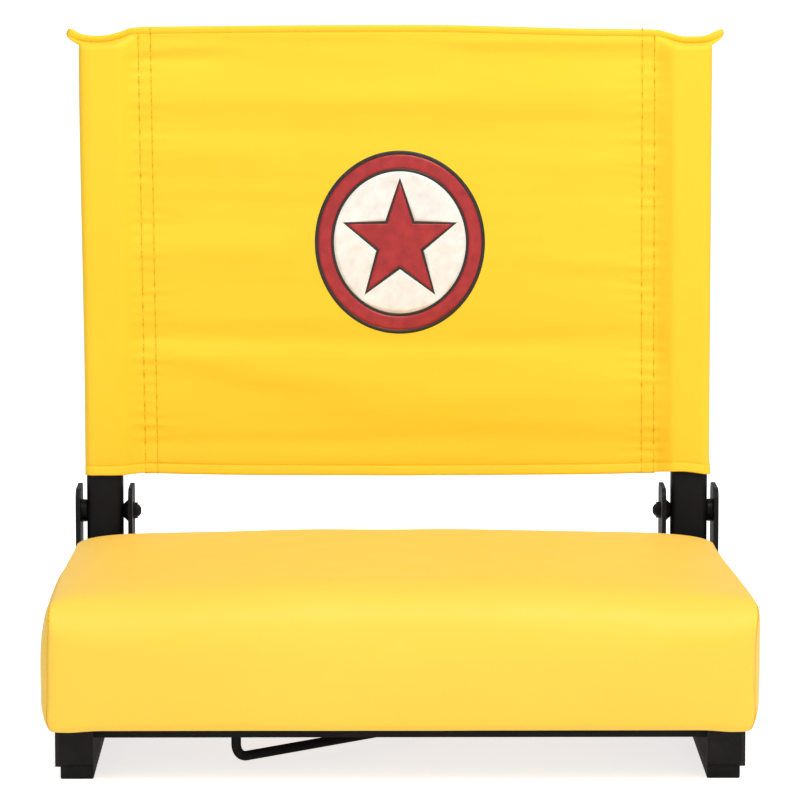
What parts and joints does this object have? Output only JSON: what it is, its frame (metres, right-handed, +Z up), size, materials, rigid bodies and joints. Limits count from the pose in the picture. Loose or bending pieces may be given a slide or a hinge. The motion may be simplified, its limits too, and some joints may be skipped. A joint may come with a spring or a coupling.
{
  "type": "folding stadium seat",
  "caption": "Folding stadium seat: padded cushion on a low steel base with skids, fabric sling back that folds flat over it, and a rod hook that grips under a bench plank.",
  "frame": {"origin": "on the ground below the centre of the open seat's bounding box", "axes": "+Z up, +Y from the seat's front to its back, +X across the seat towards the sitter's left"},
  "size_m": [0.464, 0.368, 0.473],
  "materials": {
    "seat_fabric": "coated woven polyester, yellow, slight sheen",
    "back_fabric": "woven polyester, yellow, slight sheen",
    "foam": "open-cell foam",
    "plywood": "unfinished plywood",
    "black_steel": "satin black powder coat",
    "black_bolt": "black oxide fasteners",
    "zinc_steel": "zinc plated",
    "black_plastic": "moulded black plastic",
    "black_rubber": "matt rubber"
  },
  "bodies": {
    "seat_base": {"seat_cover": "seat_fabric", "seat_foam": "foam", "seat_board": "plywood", "front_crossbar": "black_steel", "rear_crossbar": "black_steel", "board_screws": "zinc_steel", "side_rail_right": "black_steel", "side_rail_left": "black_steel", "skid_right": "black_plastic", "skid_left": "black_plastic", "front_cap_right": "black_plastic", "front_cap_left": "black_plastic", "rear_cap_right": "black_plastic", "rear_cap_left": "black_plastic", "hinge_bracket_right": "black_steel", "hinge_bracket_left": "black_steel", "stop_blocks": "black_rubber", "pivot_bolts": "black_bolt", "outer_spacers": "black_bolt", "inner_spacers": "black_bolt", "pivot_nuts": "black_bolt", "hook_guide_tube": "black_steel", "hook_guide_bush": "black_plastic", "hook_spring": "zinc_steel"},
    "backrest": {"upright_right": "black_steel", "upright_left": "black_steel", "upright_top_plugs": "black_plastic", "upright_bottom_plugs": "black_plastic", "back_sling": "back_fabric", "pivot_bushes": "zinc_steel"},
    "hook_carrier": {"hook_slider": "black_plastic"},
    "hook": {"hook_rod": "black_steel", "hook_clip": "zinc_steel"}
  },
  "joints": [
    {"name": "back_fold", "type": "hinge", "parent": "seat_base", "child": "backrest", "pos_m": [0, 0.16, 0.13], "axis": [1, 0, 0], "range_deg": [0, 90]},
    {"name": "hook_pull", "type": "slide", "parent": "seat_base", "child": "hook_carrier", "axis": [0, 0, -1], "range_m": [0, 0.05], "stiffness_N_per_m": 150, "springref_m": -0.02, "deforming": ["hook_spring"]},
    {"name": "hook_turn", "type": "hinge", "parent": "hook_carrier", "child": "hook", "pos_m": [-0.107, -0.1395, 0.0104], "axis": [0, 0, 1], "range_deg": [-133, 47]}
  ]
}
